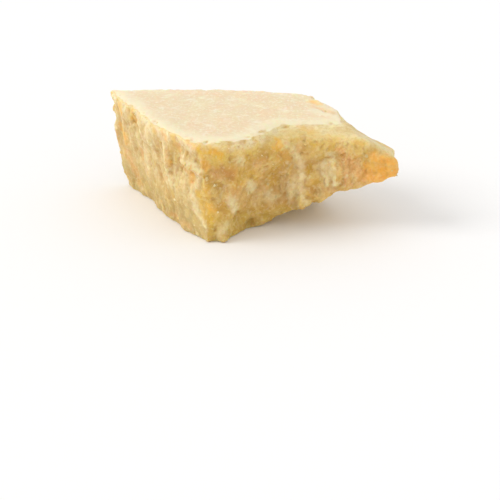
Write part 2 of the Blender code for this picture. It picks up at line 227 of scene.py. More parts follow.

# Places whose colour stands out: kind, from, to, radius in millimetres, strength.
# Amber is clear and orange, and on the thin tip partly painted glow of light through it. Golden
# is a full yellow, milky is pale, rosy is a warm spot, khaki is a duller tone, and brown is the
# deepest: in hollows, under the chip and at the foot it is painted shade.
KINDS = ("amber", "golden", "milky", "rosy", "khaki", "brown")
PATCHES = (
    ("khaki", (25.5, 9.5, 26.9), (26.1, 10.0, 20.2), 2.0, 0.60),
    ("khaki", (26.1, 10.0, 20.2), (27.1, 9.9, 14.1), 2.2, 0.75),
    ("khaki", (28.8, 10.9, 21.4), (31.7, 11.2, 18.2), 2.6, 0.55),
    ("khaki", (12.9, 8.6, 9.9), (21.6, 10.3, 12.3), 2.8, 0.70),
    ("khaki", (8.5, 2.9, 15.4), (10.0, 6.4, 9.2), 2.2, 0.50),
    ("khaki", (31.2, 9.8, 12.5), (36.1, 9.8, 13.4), 1.8, 0.50),
    ("milky", (-3.0, -0.3, 20.8), (-4.3, 1.8, 17.1), 1.1, 0.60),
    ("milky", (-4.3, 1.8, 17.1), (-4.7, 3.3, 12.7), 1.3, 0.80),
    ("milky", (-4.7, 3.3, 12.7), (-3.9, 3.3, 8.7), 1.3, 0.80),
    ("milky", (-3.9, 3.3, 8.7), (-1.8, 0.8, 5.1), 1.2, 0.65),
    ("milky", (-7.6, 4.8, 24.2), (-5.0, 1.4, 23.8), 1.6, 1.0),
    ("milky", (-5.0, 1.4, 23.8), (-3.2, 0.0, 22.3), 1.5, 1.0),
    ("milky", (6.3, 1.0, 12.8), (7.1, 3.7, 8.2), 1.8, 0.65),
    ("milky", (11.1, 5.1, 16.3), (12.3, 7.1, 14.0), 1.7, 0.65),
    ("milky", (16.7, 10.4, 11.0), (17.8, 9.9, 9.9), 1.7, 0.50),
    ("milky", (21.1, 8.0, 27.8), (24.9, 9.2, 23.4), 1.3, 0.45),
    ("milky", (24.9, 9.2, 23.4), (26.1, 10.1, 19.9), 1.5, 0.55),
    ("milky", (26.1, 10.1, 19.9), (23.9, 9.9, 15.6), 1.2, 0.35),
    ("milky", (23.9, 9.9, 15.6), (24.2, 10.3, 10.4), 1.2, 0.45),
    ("milky", (26.6, 10.1, 18.6), (26.2, 9.7, 12.0), 1.1, 0.40),
    ("milky", (35.4, 10.2, 21.6), (36.3, 9.4, 14.8), 1.1, 0.70),
    ("milky", (32.8, 10.9, 19.9), (33.5, 10.0, 14.9), 1.1, 0.50),
    ("milky", (33.0, 11.2, 23.8), (35.0, 10.6, 22.6), 1.0, 0.60),
    ("milky", (3.3, 0.4, 3.6), (4.8, 1.2, 4.8), 1.8, 0.45),
    ("milky", (-13.4, 11.6, 26.6), (-12.9, 10.2, 21.4), 1.1, 0.65),
    ("milky", (-12.9, 10.2, 21.4), (-12.6, 12.4, 16.9), 1.2, 0.65),
    ("milky", (-12.6, 12.4, 16.9), (-10.9, 9.5, 14.0), 1.3, 0.50),
    ("milky", (-19.1, 20.6, 27.4), (-19.5, 24.0, 22.4), 0.8, 0.50),
    ("milky", (-21.9, 29.4, 22.9), (-21.5, 29.5, 18.2), 0.8, 0.45),
    ("milky", (-18.4, 18.6, 29.4), (-18.0, 19.6, 22.8), 1.4, 0.75),
    ("milky", (-19.4, 24.6, 20.0), (-18.8, 25.8, 13.0), 1.3, 0.50),
    ("milky", (23.0, 10.3, 12.2), (23.1, 10.5, 8.4), 1.0, 0.60),
    ("milky", (26.4, 9.6, 10.8), (27.5, 9.5, 8.4), 1.1, 0.55),
    ("milky", (8.6, 1.6, 25.6), (9.6, 2.6, 23.6), 1.3, 0.45),
    ("milky", (33.5, 17.0, 30.3), (38.4, 15.8, 29.0), 1.8, 0.60),
    ("milky", (33.0, 13.0, 29.4), (44.0, 11.6, 27.4), 2.4, 0.45),
    ("milky", (41.0, 11.6, 28.0), (46.0, 10.6, 26.2), 1.8, 0.70),
    ("milky", (42.0, 14.0, 27.4), (52.0, 11.6, 24.2), 3.2, 0.55),
    ("milky", (-21.4, 26.4, 26.6), (-21.2, 27.2, 22.0), 1.2, 0.60),
    ("milky", (17.5, 21.0, 31.0), (24.6, 17.8, 30.8), 1.5, 0.75),
    ("golden", (19.4, 8.0, 28.8), (19.4, 7.2, 26.2), 1.7, 0.60),
    ("amber", (19.4, 8.0, 28.4), (19.4, 7.2, 26.6), 1.3, 0.40),
    ("brown", (20.6, 8.4, 23.9), (22.0, 9.2, 22.2), 1.2, 0.35),
    ("amber", (20.9, 8.6, 23.6), (21.8, 9.3, 22.1), 1.5, 0.28),
    ("golden", (10.8, 3.0, 26.4), (10.8, 3.7, 24.0), 1.4, 0.60),
    ("brown", (10.8, 3.1, 26.0), (10.8, 3.7, 24.6), 0.9, 0.35),
    ("brown", (6.0, 0.7, 16.0), (6.8, 1.4, 14.2), 1.2, 0.35),
    ("amber", (0.0, -0.4, 11.8), (0.6, -0.3, 10.2), 1.1, 0.30),
    ("amber", (-1.0, -0.6, 25.2), (-0.9, -0.6, 23.4), 1.0, 0.45),
    ("amber", (1.4, -0.3, 28.2), (2.8, -0.3, 27.6), 1.0, 0.45),
    ("rosy", (14.0, 6.0, 23.0), (15.0, 6.0, 22.8), 1.6, 0.40),
    # The thin tip's amber is partly its own colour and partly painted glow of light through it.
    ("amber", (46.4, 8.8, 22.9), (52.4, 8.0, 21.6), 1.7, 0.95),
    ("amber", (45.8, 9.0, 19.9), (53.2, 8.2, 18.8), 2.1, 0.95),
    ("amber", (46.0, 8.9, 17.0), (52.4, 8.6, 17.0), 1.8, 0.9),
    ("amber", (29.8, 35.2, 30.9), (32.0, 33.0, 30.8), 1.9, 0.80),
    ("golden", (-29.0, 39.4, 30.0), (-27.9, 36.9, 28.5), 1.4, 0.55),
    ("amber", (-28.4, 38.4, 28.0), (-27.6, 36.8, 26.6), 1.2, 0.50),
    ("amber", (-27.8, 39.9, 20.8), (-26.6, 37.7, 17.9), 1.8, 0.62),
    ("amber", (-23.8, 29.7, 30.0), (-23.4, 30.0, 26.1), 1.2, 0.40),
    ("golden", (-17.4, 18.4, 30.4), (-16.1, 14.5, 28.6), 1.2, 0.50),
    ("amber", (-14.1, 11.4, 30.0), (-13.0, 10.0, 28.0), 1.2, 0.36),
    ("golden", (-10.8, 7.9, 29.8), (-9.7, 7.1, 26.3), 1.1, 0.50),
    ("amber", (-6.3, 2.7, 30.3), (-4.6, 0.6, 29.7), 1.1, 0.32),
    ("amber", (26.2, 15.2, 29.9), (29.2, 13.9, 29.3), 1.8, 0.22),
    ("golden", (-3.0, -0.6, 29.2), (-1.4, -0.6, 27.6), 1.6, 0.90),
    ("golden", (0.6, -0.3, 28.4), (3.6, -0.3, 26.9), 1.7, 1.0),
    ("golden", (-1.4, -0.7, 24.6), (-1.2, -0.4, 22.2), 1.4, 0.60),
    ("golden", (-1.9, -0.8, 17.6), (-0.8, -0.4, 12.1), 1.8, 0.65),
    ("golden", (-0.8, -0.4, 12.1), (-0.1, -0.2, 6.5), 1.9, 0.80),
    ("golden", (-2.9, 0.8, 15.0), (-2.1, 0.7, 7.5), 1.7, 0.75),
    ("golden", (-1.2, 0.4, 17.6), (-0.6, 0.2, 14.6), 1.2, 0.45),
    ("golden", (12.0, 5.2, 19.2), (13.1, 6.2, 17.0), 1.5, 0.60),
    ("golden", (28.6, 10.6, 18.6), (30.0, 10.6, 15.8), 1.6, 0.55),
    ("golden", (34.1, 11.5, 28.9), (36.2, 11.0, 28.4), 1.3, 0.70),
    ("golden", (42.0, 9.4, 27.6), (43.5, 9.0, 26.4), 1.2, 0.80),
    ("golden", (-12.4, 11.6, 12.6), (-10.6, 10.6, 9.6), 1.6, 0.35),
    ("golden", (-24.9, 31.0, 30.0), (-24.1, 30.6, 27.0), 1.3, 0.60),
    ("rosy", (2.9, 0.1, 22.0), (6.4, 0.9, 20.7), 2.0, 0.55),
    ("amber", (-4.6, 3.5, 20.3), (-4.9, 2.9, 17.8), 1.5, 0.50),
    # Painted shade in the hollow below the chip.
    ("brown", (-8.9, 7.5, 22.0), (-6.8, 3.5, 21.2), 0.8, 0.50),
    ("brown", (-6.8, 3.5, 21.2), (-4.9, 2.7, 20.4), 0.8, 0.50),
    ("rosy", (6.3, 0.7, 15.9), (7.1, 1.0, 15.5), 1.4, 0.30),
    ("rosy", (20.0, 8.0, 24.6), (22.3, 9.2, 22.4), 1.5, 0.40),
    ("rosy", (38.6, 9.8, 23.4), (39.6, 9.5, 15.0), 1.7, 0.65),
    ("rosy", (40.6, 9.5, 21.9), (43.4, 9.2, 17.0), 2.4, 0.60),
    ("rosy", (37.0, 9.8, 25.4), (38.0, 9.7, 24.0), 1.2, 0.70),
    ("rosy", (-21.3, 30.2, 16.6), (-21.8, 31.2, 15.0), 1.6, 0.60),
    ("rosy", (-26.6, 39.2, 13.6), (-25.4, 37.9, 10.4), 2.5, 0.50),
    ("rosy", (-25.4, 37.9, 10.4), (-22.8, 35.6, 4.2), 2.4, 0.55),
    ("rosy", (-9.3, 6.3, 26.8), (-8.0, 4.4, 21.8), 1.5, 0.75),
    ("rosy", (-11.8, 15.6, 2.6), (-6.1, 6.3, 2.4), 1.2, 0.45),
    ("rosy", (4.6, 1.0, 16.9), (5.4, 1.4, 14.0), 1.3, 0.25),
    ("brown", (31.4, 29.4, 31.0), (36.4, 24.2, 30.8), 1.2, 0.40),
    ("rosy", (44.4, 9.0, 18.2), (48.4, 8.6, 15.8), 1.9, 0.60),
    # Painted shade in crevices of the left face and in a hollow of the right face.
    ("brown", (-14.4, 13.2, 24.4), (-13.9, 11.6, 20.6), 0.8, 0.80),
    ("brown", (-15.2, 16.6, 21.4), (-14.3, 15.2, 16.4), 1.2, 0.60),
    ("brown", (-16.0, 19.8, 15.6), (-15.3, 19.0, 12.6), 1.3, 0.75),
    ("brown", (3.2, 0.2, 21.9), (6.2, 0.8, 20.8), 1.6, 0.60),
    # Painted shadow along the foot of the right face.
    ("brown", (19.9, 9.4, 8.4), (23.1, 10.4, 8.9), 1.5, 0.60),
    ("brown", (14.9, 9.8, 7.0), (20.2, 9.5, 8.4), 1.5, 0.45),
    ("brown", (-24.4, 29.9, 29.0), (-22.8, 29.0, 25.6), 1.2, 0.30),
    ("brown", (28.2, 10.2, 13.0), (32.0, 10.0, 12.4), 1.1, 0.40),
    # The back and the far right side.
    ("amber", (-20.0, 46.5, 28.0), (-16.0, 46.8, 24.0), 2.2, 0.85),
    ("golden", (-8.0, 47.0, 14.0), (-3.0, 47.3, 10.0), 2.8, 0.75),
    ("milky", (4.0, 47.0, 22.0), (9.0, 46.6, 19.0), 2.3, 0.80),
    ("rosy", (14.0, 46.0, 9.0), (18.0, 45.6, 12.0), 2.4, 0.65),
    ("golden", (22.0, 45.0, 27.0), (27.0, 44.0, 24.0), 2.4, 0.75),
    ("milky", (-26.0, 46.0, 13.0), (-24.0, 46.0, 6.0), 2.0, 0.70),
    ("brown", (-12.0, 47.0, 22.0), (-9.0, 47.2, 18.0), 1.3, 0.55),
    ("khaki", (8.0, 46.8, 28.0), (16.0, 46.0, 27.0), 2.6, 0.60),
    ("amber", (38.5, 27.0, 18.0), (37.0, 30.0, 14.0), 2.2, 0.75),
    ("milky", (34.0, 36.0, 22.0), (33.0, 38.0, 16.0), 2.0, 0.80),
    ("golden", (36.0, 32.0, 27.0), (34.0, 36.0, 26.0), 2.0, 0.70),
    ("brown", (32.0, 40.0, 12.0), (33.5, 37.0, 9.0), 1.5, 0.50),
)

# Colours, as sRGB shades from 0 to 255.
TOP_PEACH = (236, 210, 170)
RIB_TAN = (208, 168, 118)
TOP_CREAM = (235, 215, 174)
TOP_WHITE = (248, 239, 216)
RIM_PALE = (242, 232, 196)
OCHRE = (217, 176, 84)
OCHRE_PALE = (240, 210, 138)
OCHRE_DEEP = (196, 148, 70)
KHAKI = (212, 172, 118)
SHOULDER_CREAM = (222, 198, 136)
LEFT_CREAM = (212, 191, 138)
AMBER = (240, 174, 66)
AMBER_PALE = (246, 202, 108)
# Painted shade on the foot of the broken faces, and a greyer one on the left face.
FOOT_SHADE_COLOUR = (194, 166, 74)
LEFT_FOOT_SHADE_COLOUR = (192, 167, 112)
GOLDEN = (228, 184, 62)
GOLDEN_PALE = (238, 210, 118)
ROSY = (232, 170, 100)
BROWN = (186, 132, 58)
MILK = (238, 224, 176)
CRYSTAL_WHITE = (248, 234, 182)
FLOOR_WHITE = (250, 249, 248)

# Soft patches in the colours: scale of the noise, and its values where a patch starts and is full.
TOP_CLOUDS = (150.0, 0.42, 0.60)
TOP_DAPPLE = (520.0, 0.44, 0.64)
TOP_BLUSH = (800.0, 0.50, 0.64)
TOP_FLECKS = (260.0, 0.50, 0.72)
TOP_GRAIN = (1100.0, 0.52, 0.64)
RIM_FRAY = (170.0, 0.30, 0.66)
LEVEL_FRAY = (260.0, 0.35, 0.65)
BROW_FLAKES = (330.0, 0.30, 0.54)
# Breaks the painted highlight on broad crests into patches.
CREST_HIGHLIGHT_PATCHES = (420.0, 0.36, 0.62)
AMBER_CLEAR = (190.0, 0.42, 0.62)
BACK_DRY = (70.0, 0.42, 0.60)
OCHRE_CLOUDS = (150.0, 0.44, 0.60)
KHAKI_CLOUDS = (230.0, 0.50, 0.64)
GOLDEN_CLOUDS = (210.0, 0.58, 0.74)
ROSY_CLOUDS = (260.0, 0.60, 0.76)
TAN_RIBS = (620.0, 0.46, 0.60)
MILK_RIBS = (520.0, 0.52, 0.66)
DEEP_GRAIN = (1300.0, 0.50, 0.62)
PALE_GRAIN = (1000.0, 0.52, 0.64)
DAMP_PATCHES = (240.0, 0.35, 0.70)
CRUMB_CLOUDS = (300.0, 0.40, 0.60)
CRYSTAL_CHALK = (700.0, 0.30, 0.70)

# Specks in the colours: scale, size, and the share of places that have one.
TOP_DOTS = (430.0, 0.80, 0.10)
BROKEN_DOTS = (460.0, 0.50, 0.05)

# Fine grit, as a bump: scale, strength and distance.
CHEESE_GRIT = (1500.0, 0.5, 0.15 * MM)
CRUMB_GRIT = (2600.0, 0.5, 0.10 * MM)
CRYSTAL_GRIT = (3200.0, 0.3, 0.06 * MM)

# Roughness of dry and of damp cheese.
DRY_ROUGHNESS = 0.62
DAMP_ROUGHNESS = 0.42

# A bright room with one soft light from the left.
WORLD_LIGHT = 0.85
KEY_LIGHT = 1.1
KEY_FROM = Vector((-0.75, -0.1, 0.6))
KEY_SPREAD = math.radians(30.0)

# The camera looks along +Y and down, at a point given from the foot's front corner.
CAMERA_DOWN = math.radians(25.0)
CAMERA_AIM = Vector((11.4 * MM, -4.7 * MM, 0.0))
CAMERA_AWAY = 416.67 * MM
CAMERA_LENS = 105.0
CAMERA_SENSOR = 36.0

# Large crystals in named places: where in millimetres, and their size against the model's.
LARGE_CRYSTALS = (
    ((1.2, 0.5, 17.6), 1.7),
    ((2.3, -0.1, 9.4), 2.1),
    ((-10.5, 10.6, 9.3), 1.6),
    ((17.6, 8.4, 22.0), 0.9),
)

# Crystals and crumbs: how many, the models' radius and seeds, how deep a model of full size is
# sunk, and the lowest and highest place of their centres.
CRYSTALS = 34
CRYSTAL_RADIUS = 0.42 * MM
CRYSTAL_SEEDS = (5, 11, 19)
CRYSTAL_SUNK = 0.24 * MM
CRYSTAL_LOWEST = 1.5 * MM
CRUMBS = 26
CRUMB_RADIUS = 0.75 * MM
CRUMB_SEEDS = (3, 8, 15)
CRUMB_SUNK = 0.12 * MM
CRUMB_LOWEST = 2.0 * MM
CRUMB_HIGHEST = 27.0 * MM


# Helpers for meshes


def select_only(piece):
    bpy.ops.object.select_all(action="DESELECT")
    piece.select_set(True)
    bpy.context.view_layer.objects.active = piece


def apply_modifier(piece, kind, **settings):
    select_only(piece)
    modifier = piece.modifiers.new(kind.title(), kind)
    for key, value in settings.items():
        setattr(modifier, key, value)
    bpy.ops.object.modifier_apply(modifier=modifier.name)


def smooth_step(value, low, high):
    """0 below low, 1 above high, and an even rise between them."""
    t = min(max((value - low) / (high - low), 0.0), 1.0)
    return t * t * (3.0 - 2.0 * t)


def write_attribute(piece, name, values):
    attribute = piece.data.attributes.new(name, "FLOAT", "POINT")
    attribute.data.foreach_set("value", values)


def wavered(points, size, reach):
    """The points, each shifted a little, so that what is placed by them has uneven outlines."""
    moved = [point + reach * noise.noise_vector(point / size) for point in points]
    return np.array([tuple(point) for point in moved])


def near_line(places, start, end, radius):
    """1 on a line between two points given in millimetres, falling to 0 at its radius."""
    start = np.array(start) * MM + np.array(FRONT_CORNER)
    along = np.array(end) * MM + np.array(FRONT_CORNER) - start
    share = np.clip((places - start) @ along / (along @ along), 0.0, 1.0)
    reach = np.linalg.norm(places - start - share[:, None] * along, axis=1) / (radius * MM)
    inside = np.clip(1.0 - reach, 0.0, 1.0)
    return inside * inside * (3.0 - 2.0 * inside)


# The skin's relief. Odd factors on a place give each value its own part of the noise.


def facets(point, size):
    """Tilted facets of one size, with a worn step from each to the next. Also each one's tone."""
    scaled = point / size
    distances, places = noise.voronoi(scaled)
    own = 0.5 + 0.5 * smooth_step(distances[1] - distances[0], 0.0, GROOVE)
    height = 0.0
    tone = 0.0
    for place, share in ((places[0], own), (places[1], 1.0 - own)):
        tilt = noise.noise_vector(place * 3.7)
        height += share * (1.2 * tilt.dot(scaled - place) + 0.9 * noise.noise(place * 5.17))
        tone += share * (0.5 + 0.9 * noise.noise(place * 7.31))
    return height, tone


def grains(point, size):
    """Rounded grains of one size: each stands out by its own amount, with a groove round it."""
    distances, places = noise.voronoi(point / size)
    inside = smooth_step(distances[1] - distances[0], 0.0, GROOVE)
    dome = 1.0 - min(distances[0], 1.0)
    return 0.8 * noise.noise(places[0] * 5.17) + 0.5 * dome - 0.5 * (1.0 - inside)


def ridges(point, size):
    """Sharp crests with rounded valleys between them."""
    return 0.5 - 1.6 * abs(noise.noise(point / size))


def warped(point):
    """A point moved a little, so that grains and facets get uneven outlines."""
    return point + WARP_REACH * noise.noise_vector(point / WARP_SIZE)


def upright(point):
    """A point whose pattern runs up and down, as the flakes of the left face do."""
    return Vector((point.x, point.y, point.z * FLAKE_SQUEEZE))


def left_share(heading):
    return smooth_step(heading.dot(LEFT_HEADING), 0.55, 0.85)


def calm_share(heading):
    """How much of the relief is left on a face that looks up."""
    return 1.0 - 0.8 * smooth_step(heading.z, 0.3, 0.8)


def crags(point, heading):
    """The larger unevenness of a broken face, with tall flakes on the left."""
    left = left_share(heading)
    moved = warped(point)
    place = moved.lerp(upright(moved), left)
    crag = CRAG_DEPTH * noise.fractal(place / CRAG_SIZE, 1.0, 2.0, 3)
    facet, tone = facets(place, FLAKE_SIZE)
    crest = 0.12 * left * FLAKE_DEPTH * ridges(upright(moved), RIDGE_SIZE)
    return calm_share(heading) * (crag + FLAKE_DEPTH * facet + crest), tone


def curd(point, heading):
    """The grains of a broken face. Waxy patches have less of them."""
    moved = warped(point)
    place = moved.lerp(upright(moved), 0.4 * left_share(heading))
    wax = smooth_step(noise.noise(point / WAX_SIZE + Vector((3.1, 0.0, 0.0))), 0.05, 0.45)
    facet, tone = facets(place, CURD_SIZE)
    large = CURD_DEPTH * (0.7 * facet + 0.6 * grains(place, CURD_SIZE))
    small = GRAIN_DEPTH * grains(moved + Vector((0.02, 0.0, 0.0)), GRAIN_SIZE)
    ridge = RIDGE_DEPTH * (1.0 - 0.6 * left_share(heading)) * ridges(moved, RIDGE_SIZE)
    pit = PIT_DEPTH * smooth_step(noise.noise(place / PIT_SIZE), 0.28, 0.55)
    calm = (1.0 - 0.6 * wax) * calm_share(heading)
    return calm * (large + small + ridge - pit), tone


def old_face(point):
    """How far the smooth top stands out at a point."""
    swell = noise.fractal(point / SWELL_SIZE, 1.0, 2.0, 2)
    speck = smooth_step(noise.noise(point / SPECK_SIZE), 0.3, 0.6)
    return SWELL_DEPTH * swell - SPECK_DEPTH * speck


def top_share(point, heading):
    """1 on the old top face, 0 on the fractures round it."""
    level = smooth_step(heading.z, 0.80, 0.95)
    high = smooth_step(point.z, cad_high.z - TOP_BAND[0], cad_high.z - TOP_BAND[1])
    return level * high


def nearness(points, chosen, reach):
    """1 at the chosen points, falling to 0 at the reach."""
    tree = KDTree(len(chosen))
    for index in chosen:
        tree.insert(points[index], index)
    tree.balance()
    return [1.0 - smooth_step(tree.find(point)[2], 0.0, reach) for point in points]


def survey(skin):
    """Places, headings, shares of the old top, and nearness to a fracture and to the old top."""
    points = [vertex.co.copy() for vertex in skin.data.vertices]
    headings = [vertex.normal.copy() for vertex in skin.data.vertices]
    tops = [top_share(point, heading) for point, heading in zip(points, headings)]
    rims = nearness(points, [i for i, top in enumerate(tops) if top < 0.5], RIM_WIDTH)
    brows = nearness(points, [i for i, top in enumerate(tops) if top > 0.5], BROW_WIDTH)
    return points, headings, tops, rims, brows


def move_skin(skin, points, headings, moves):
    """Moves each point along its heading. The base stays flat, and the height is kept."""
    for vertex, point, heading, move in zip(skin.data.vertices, points, headings, moves):
        vertex.co = point + heading * move * smooth_step(point.z, 0.0, BASE_BAND)
        vertex.co.z = min(max(vertex.co.z, cad_low.z), cad_high.z)
    skin.data.update()


def carve(skin):
    """Crags, the named strokes, and a chipped and scalloped rim."""
    points, headings, tops, rims, brows = survey(skin)
    places = wavered(points, *STROKE_WAVER)
    strokes = np.zeros(len(points))
    for start, end, width, height in STROKES:
        strokes += height * MM * near_line(places, start, end, width * FADE)
    moves = []
    for point, heading, top, rim, brow, stroke in zip(points, headings, tops, rims, brows, strokes):
        loose = smooth_step(noise.noise(point / CHIP_SIZE), 0.05, 0.45)
        chip = CHIP_DEPTH * loose * top * rim**CHIP_CLOSENESS
        bite = smooth_step(noise.noise(upright(point) / SCALLOP_SIZE), 0.0, 0.4)
        steep = 1.0 - smooth_step(heading.z, 0.5, 0.8)
        scallop = SCALLOP_DEPTH * bite * (1.0 - top) * brow**SCALLOP_CLOSENESS * steep
        moves.append((1.0 - top) * crags(point, heading)[0] + stroke - chip - scallop)
    move_skin(skin, points, headings, moves)


def near_worn_edges(points):
    """1 on the edges that are worn round, falling to 0 a little past their reach."""
    places = wavered(points, *WEAR_WAVER)
    near = np.zeros(len(places))
    for start, end, reach in WORN_EDGES:
        near = np.maximum(near, near_line(places, start, end, reach * FADE))
    return near


def wear(skin):
    """Rounds the worn edges by smoothing near them."""
    worn = skin.vertex_groups.new(name="worn")
    for index, share in enumerate(near_worn_edges([vertex.co for vertex in skin.data.vertices])):
        if share > 0.0:
            worn.add([index], share, "REPLACE")
    apply_modifier(skin, "SMOOTH", factor=0.5, iterations=WEAR_ROUNDS, vertex_group="worn")


def depths(skin, rounds):
    """How far each point lies below the smoothed skin round it, in millimetres."""
    mesh = skin.data
    count = len(mesh.vertices)
    places = np.empty(count * 3)
    mesh.vertices.foreach_get("co", places)
    places = places.reshape(-1, 3)
    headings = np.empty(count * 3)
    mesh.vertices.foreach_get("normal", headings)
    headings = headings.reshape(-1, 3)
    edges = np.empty(len(mesh.edges) * 2, dtype=int)
    mesh.edges.foreach_get("vertices", edges)
    first, second = edges.reshape(-1, 2).T
    neighbours = np.bincount(first, minlength=count) + np.bincount(second, minlength=count)
    smooth = places.copy()
    for _ in range(rounds):
        for axis in range(3):
            line = smooth[:, axis]
            total = np.bincount(first, line[second], count)
            total += np.bincount(second, line[first], count)
            smooth[:, axis] = 0.5 * line + 0.5 * total / neighbours
    return ((smooth - places) * headings).sum(axis=1) / MM


def kinds_at(points):
    """How strongly each kind of patch shows at each point."""
    places = wavered(points, *PATCH_WAVER)
    kinds = {kind: np.zeros(len(points)) for kind in KINDS}
    for kind, start, end, radius, strength in PATCHES:
        shown = strength * near_line(places, start, end, radius * FADE)
        kinds[kind] = np.maximum(kinds[kind], shown)
    return kinds


def roughen(skin):
    """Curd grains and the old top's grain, with what the colours need kept as attributes."""
    points, headings, tops, rims, brows = survey(skin)
    kinds = kinds_at(points)
    waxy = np.clip(kinds["amber"] + 0.5 * kinds["golden"], 0.0, 1.0)
    grain = [curd(point, heading) for point, heading in zip(points, headings)]
    tones = [crags(point, heading)[1] for point, heading in zip(points, headings)]
    moves = []
    for point, top, rim, wax, (rough, _) in zip(points, tops, rims, waxy, grain):
        share = (1.0 - top) * (1.0 - 0.6 * wax) + 0.25 * top * rim
        moves.append(share * rough + top * old_face(point))
    move_skin(skin, points, headings, moves)
    write_attribute(skin, "old_face", tops)
    write_attribute(skin, "rim", rims)
    write_attribute(skin, "brow", brows)
    write_attribute(skin, "tone", tones)
    write_attribute(skin, "grain_tone", [tone for _, tone in grain])
    write_attribute(skin, "fine_depth", depths(skin, FINE_ROUNDS))
    write_attribute(skin, "broad_depth", depths(skin, BROAD_ROUNDS))
    write_attribute(skin, "worn_edge", near_worn_edges(points))
    write_attribute(skin, "left", [left_share(heading) for heading in headings])
    write_attribute(skin, "back", [smooth_step(heading.y, 0.1, 0.5) for heading in headings])
    write_attribute(skin, "level", [smooth_step(heading.z, 0.25, 0.75) for heading in headings])
    for kind, values in kinds.items():
        write_attribute(skin, kind, values)


def remesh(piece):
    apply_modifier(piece, "REMESH", mode="VOXEL", voxel_size=SKIN_VOXEL)


def chunk_skin():
    """A copy of the solid, meshed finely and broken up."""
    skin = bpy.data.objects.new("cheese_chunk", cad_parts[NODE].data.copy())
    bpy.context.scene.collection.objects.link(skin)
    select_only(skin)
    bpy.ops.object.mode_set(mode="EDIT")
    bpy.ops.mesh.select_all(action="SELECT")
    bpy.ops.mesh.remove_doubles(threshold=MERGE)
    bpy.ops.object.mode_set(mode="OBJECT")
    remesh(skin)
    apply_modifier(skin, "SMOOTH", factor=0.5, iterations=FIRST_ROUNDS)
    wear(skin)
    carve(skin)
    remesh(skin)
    apply_modifier(skin, "SMOOTH", factor=0.5, iterations=LAST_ROUNDS)
    roughen(skin)
    return skin


# Crystals and crumbs


def lump(name, radius, subdivisions, roughness, seed):
    """One small uneven lump, to be copied."""
    bpy.ops.object.select_all(action="DESELECT")
    bpy.ops.mesh.primitive_ico_sphere_add(subdivisions=subdivisions, radius=radius)
    made = bpy.context.object
    made.name = name
    bpy.ops.object.mode_set(mode="EDIT")
    bpy.ops.mesh.select_all(action="SELECT")
    bpy.ops.transform.vertex_random(offset=radius * roughness, seed=seed, normal=0.7)
    bpy.ops.transform.resize(value=(1.25, 0.95, 0.8))
    bpy.ops.object.mode_set(mode="OBJECT")
    return made


def scatter(name, models, places):
    """Joins copies of the models at the places into one piece."""
    copies = []
    for index, (point, turn, size) in enumerate(places):
        model = models[index % len(models)]
        copy = bpy.data.objects.new(name, model.data.copy())
        bpy.context.scene.collection.objects.link(copy)
        copy.data.transform(Matrix.LocRotScale(point, turn, Vector((size, size, size))))
        copies.append(copy)
    bpy.ops.object.select_all(action="DESELECT")
    for copy in copies:
        copy.select_set(True)
    bpy.context.view_layer.objects.active = copies[0]
    bpy.ops.object.join()
    joined = bpy.context.object
    joined.name = name
    for model in models:
        bpy.data.objects.remove(model, do_unlink=True)
    return joined


def random_turn(draw):
    return Euler([draw.uniform(0.0, math.tau) for _ in range(3)]).to_quaternion()


def crystal_places(skin, draw):
    """The large crystals, then others sunk in the broken faces, and a few in the top."""
    tops = skin.data.attributes["old_face"].data
    faces = skin.data.polygons
    places = []
    for spot, size in LARGE_CRYSTALS:
        _, point, heading, _ = skin.closest_point_on_mesh(FRONT_CORNER + Vector(spot) * MM)
        places.append((point - heading * CRYSTAL_SUNK * size, random_turn(draw), size))
    while len(places) < CRYSTALS:
        face = faces[draw.randrange(len(faces))]
        top = tops[face.vertices[0]].value
        if face.center.z < CRYSTAL_LOWEST or draw.random() < 0.8 * top:
            continue
        size = 0.45 + 0.75 * draw.random() ** 2.0
        point = face.center - face.normal * CRYSTAL_SUNK * size
        places.append((point, random_turn(draw), size))
    return places


def crumb_places(skin, draw):
    """Crumbs cling to the broken faces, most of all to ledges and near the old face's edge."""
    brows = skin.data.attributes["brow"].data
    tops = skin.data.attributes["old_face"].data
    faces = skin.data.polygons
    places = []
    while len(places) < CRUMBS:
        face = faces[draw.randrange(len(faces))]
        first = face.vertices[0]
        likely = max(face.normal.z, 0.03) * (0.4 + 0.6 * brows[first].value)
        if tops[first].value > 0.2 or face.normal.z > 0.6 or face.center.z > CRUMB_HIGHEST:
            continue
        if face.center.z < CRUMB_LOWEST or draw.random() > likely:
            continue
        size = 0.3 + 0.5 * draw.random() ** 1.6
        point = face.center - face.normal * CRUMB_SUNK * size
        places.append((point, random_turn(draw), size))
    return places


# Helpers for materials


def shade(colour):
    """An sRGB shade from 0 to 255 as the linear colour a socket takes."""
    parts = [part / 255.0 for part in colour]
    linear = [p / 12.92 if p <= 0.04045 else ((p + 0.055) / 1.055) ** 2.4 for p in parts]
    return (*linear, 1.0)


def node(tree, kind, inputs=None, **settings):
    """Adds a node, sets it, and links or fills the inputs that are given."""
    made = tree.nodes.new(kind)
    for key, value in settings.items():
        setattr(made, key, value)
    for socket, value in (inputs or {}).items():
        if isinstance(value, bpy.types.NodeSocket):
            tree.links.new(value, made.inputs[socket])
        else:
            made.inputs[socket].default_value = value
    return made


def mix(tree, share, low, high):
    """low where share is 0, high where it is 1. Sockets 0, 6 and 7 are a colour mix's."""
    return node(tree, "ShaderNodeMix", {0: share, 6: low, 7: high}, data_type="RGBA").outputs[2]


def maths(tree, operation, first, second):
    return node(tree, "ShaderNodeMath", {0: first, 1: second}, operation=operation).outputs[0]


def product(tree, first, *others):
    for other in others:
        first = maths(tree, "MULTIPLY", first, other)
    return first


def inverse(tree, mask, strength=1.0):
    """1 where a mask is 0, and lower by the strength where it is 1."""
    return maths(tree, "SUBTRACT", 1.0, product(tree, mask, strength))


